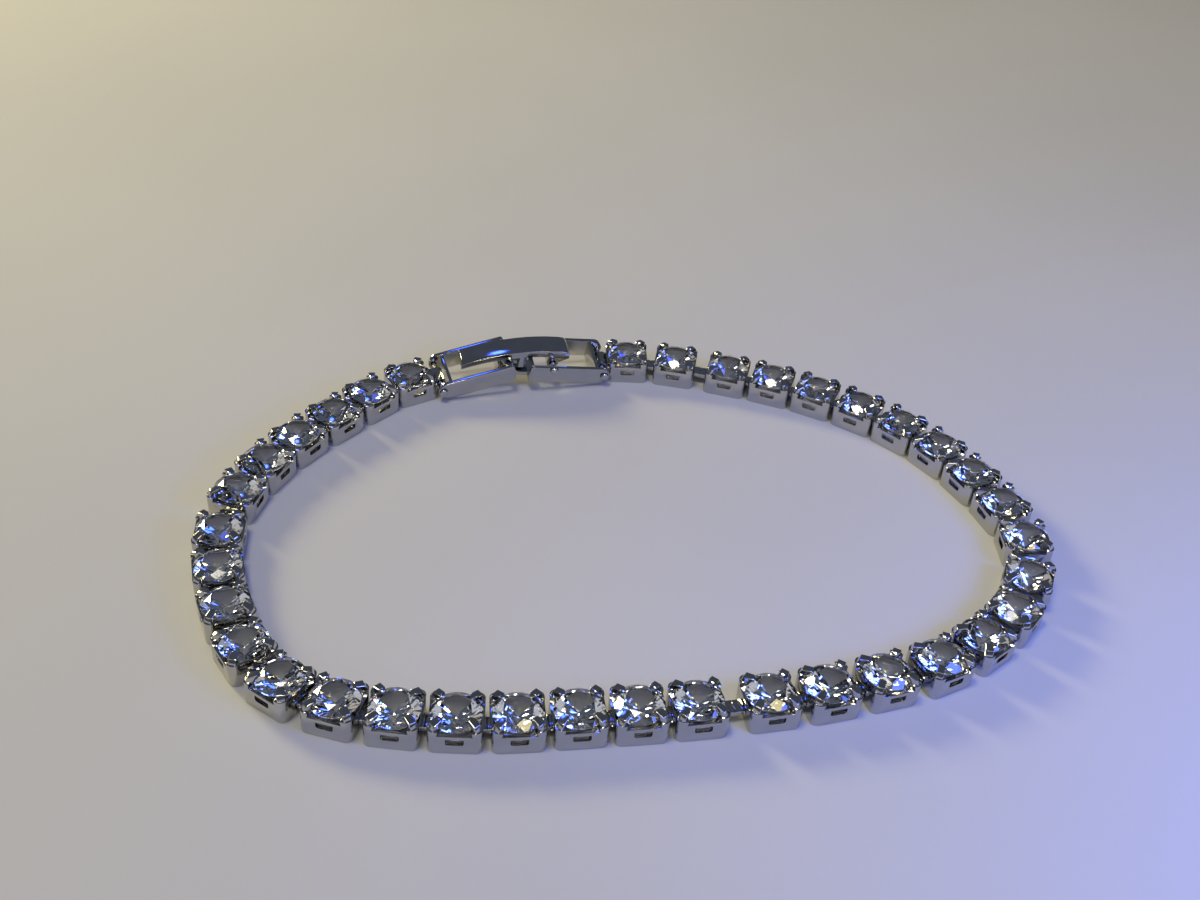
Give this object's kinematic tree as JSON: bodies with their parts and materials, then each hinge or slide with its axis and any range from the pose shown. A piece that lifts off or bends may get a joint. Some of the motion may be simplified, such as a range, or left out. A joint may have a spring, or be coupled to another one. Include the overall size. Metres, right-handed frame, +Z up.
{
  "type": "tennis bracelet",
  "caption": "Closed bracelet of round stones in four-prong square settings joined by folded tabs, with an arched fold-over clasp, lying flat in an uneven oval.",
  "frame": {"origin": "on the floor, under the middle of the bracelet's bounding box", "axes": "+Z up out of the stones' tables, +X along the oval's length, +Y from the near side to the side with the clasp"},
  "size_m": [0.0712, 0.0514, 0.0044],
  "materials": {
    "metal": "polished silver-coloured plating",
    "stone": "clear faceted stone"
  },
  "bodies": {
    "bracelet": {"chain": "metal", "catch_frame": "metal", "lever_frame": "metal", "hinge_pin": "metal", "catch_end_pin": "metal", "lever_end_pin": "metal", "stone_01": "stone", "stone_02": "stone", "stone_03": "stone", "stone_04": "stone", "stone_05": "stone", "stone_06": "stone", "stone_07": "stone", "stone_08": "stone", "stone_09": "stone", "stone_10": "stone", "stone_11": "stone", "stone_12": "stone", "stone_13": "stone", "stone_14": "stone", "stone_15": "stone", "stone_16": "stone", "stone_17": "stone", "stone_18": "stone", "stone_19": "stone", "stone_20": "stone", "stone_21": "stone", "stone_22": "stone", "stone_23": "stone", "stone_24": "stone", "stone_25": "stone", "stone_26": "stone", "stone_27": "stone", "stone_28": "stone", "stone_29": "stone", "stone_30": "stone", "stone_31": "stone", "stone_32": "stone", "stone_33": "stone", "stone_34": "stone", "stone_35": "stone", "stone_36": "stone"},
    "lever": {"lever": "metal"}
  },
  "joints": [
    {"name": "lever_hinge", "type": "hinge", "parent": "bracelet", "child": "lever", "pos_m": [-0.00831, 0.0215, 0.00261], "axis": [-0.2404, 0.9608, 0.1381], "range_deg": [0, 110]}
  ]
}
